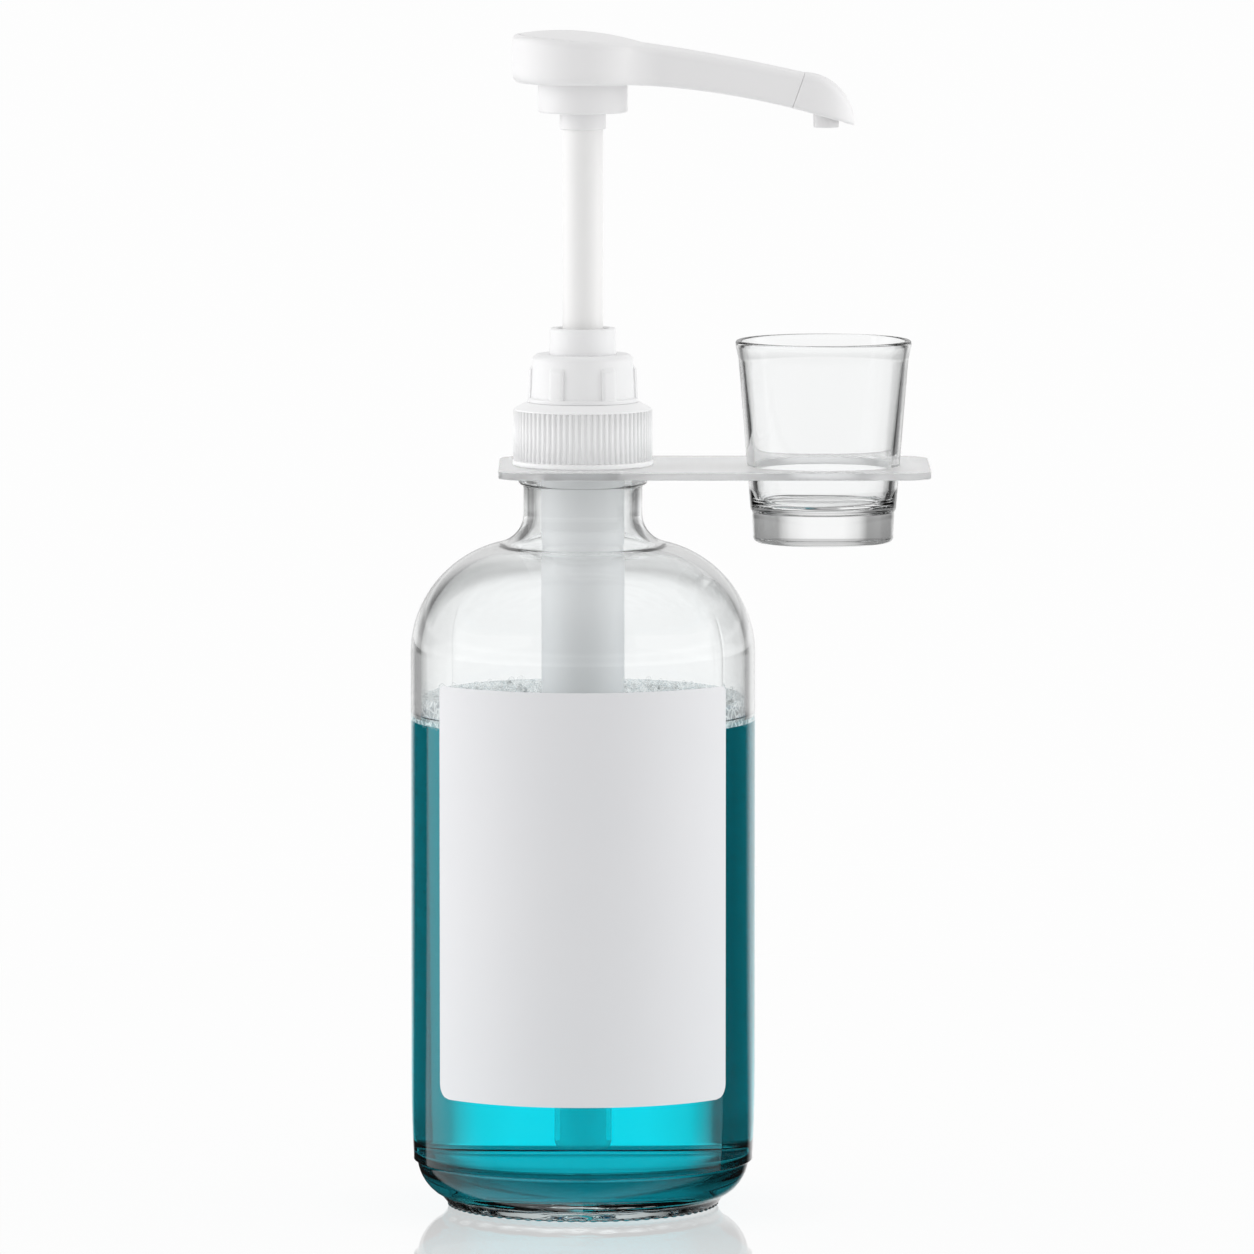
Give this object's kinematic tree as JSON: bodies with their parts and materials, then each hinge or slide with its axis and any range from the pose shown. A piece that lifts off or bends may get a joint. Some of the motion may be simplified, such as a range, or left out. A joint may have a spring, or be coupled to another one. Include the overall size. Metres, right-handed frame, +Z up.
{
  "type": "mouthwash bottle",
  "caption": "Clear round glass bottle of mouthwash with a screw closure, a lift pump with a long swivelling spout, and a clear plate on the neck that carries a small glass cup.",
  "frame": {"origin": "centre of the base, on the plane that the bottle stands on", "axes": "+Z up along the bottle and the pump stem, +X towards the spout and the cup, -Y towards the viewer and the label"},
  "size_m": [0.1413, 0.0942, 0.3212],
  "materials": {
    "bottle_glass": "clear polished glass",
    "mouthwash": "clear teal liquid",
    "label_paper": "smooth white label stock, bare",
    "clear_acrylic": "clear sheet with polished edges",
    "cup_glass": "clear pressed glass",
    "closure_plastic": "satin white polypropylene with fine grip ribs",
    "pump_plastic": "satin white polypropylene",
    "natural_plastic": "uncoloured, slightly translucent polypropylene",
    "seal_plastic": "soft white polyethylene",
    "gasket_foam": "soft off-white liner foam",
    "spring_steel": "bright drawn stainless wire",
    "ball_steel": "polished stainless steel"
  },
  "bodies": {
    "bottle": {"bottle": "bottle_glass", "mouthwash": "mouthwash", "label": "label_paper"},
    "holder": {"cup_holder": "clear_acrylic"},
    "cup": {"cup": "cup_glass"},
    "pump_body": {"pump_housing": "natural_plastic", "collar_nut": "pump_plastic", "stem_guide": "pump_plastic", "stem_wiper": "seal_plastic", "dip_tube": "natural_plastic", "ball_cage": "natural_plastic", "neck_gasket": "gasket_foam", "return_spring": "spring_steel"},
    "closure": {"closure": "closure_plastic"},
    "piston": {"piston": "seal_plastic"},
    "plunger": {"stem": "pump_plastic", "piston_retainer": "pump_plastic", "pump_head": "pump_plastic", "head_cap": "pump_plastic", "spout_tip": "pump_plastic"},
    "inlet_ball": {"inlet_ball": "ball_steel"},
    "outlet_ball": {"outlet_ball": "ball_steel"}
  },
  "joints": [
    {"name": "holder_swivel", "type": "hinge", "parent": "bottle", "child": "holder", "pos_m": [0, 0, 0.202], "axis": [0, 0, 1], "continuous": true},
    {"name": "cup_lift", "type": "slide", "parent": "holder", "child": "cup", "axis": [0, 0, 1], "range_m": [0, 0.05]},
    {"name": "pump_lift", "type": "slide", "parent": "bottle", "child": "pump_body", "axis": [0, 0, 1], "range_m": [0, 0.00529]},
    {"name": "closure_turn", "type": "hinge", "parent": "pump_body", "child": "closure", "pos_m": [0, 0, 0.21], "axis": [0, 0, 1], "range_deg": [0, 450]},
    {"name": "pump_stroke", "type": "slide", "parent": "pump_body", "child": "piston", "axis": [0, 0, 1], "range_m": [-0.053, 0], "stiffness_N_per_m": 200, "springref_m": 0.02, "deforming": ["return_spring"]},
    {"name": "head_swivel", "type": "hinge", "parent": "piston", "child": "plunger", "pos_m": [0, 0, 0.3], "axis": [0, 0, 1], "continuous": true},
    {"name": "inlet_ball_lift", "type": "slide", "parent": "pump_body", "child": "inlet_ball", "axis": [0, 0, 1], "range_m": [0, 0.002]},
    {"name": "outlet_ball_lift", "type": "slide", "parent": "plunger", "child": "outlet_ball", "axis": [0, 0, 1], "range_m": [0, 0.0015]}
  ],
  "couplings": [
    {"joint": "closure_turn", "follows": "pump_lift", "rad_per_m": 1484.3}
  ]
}
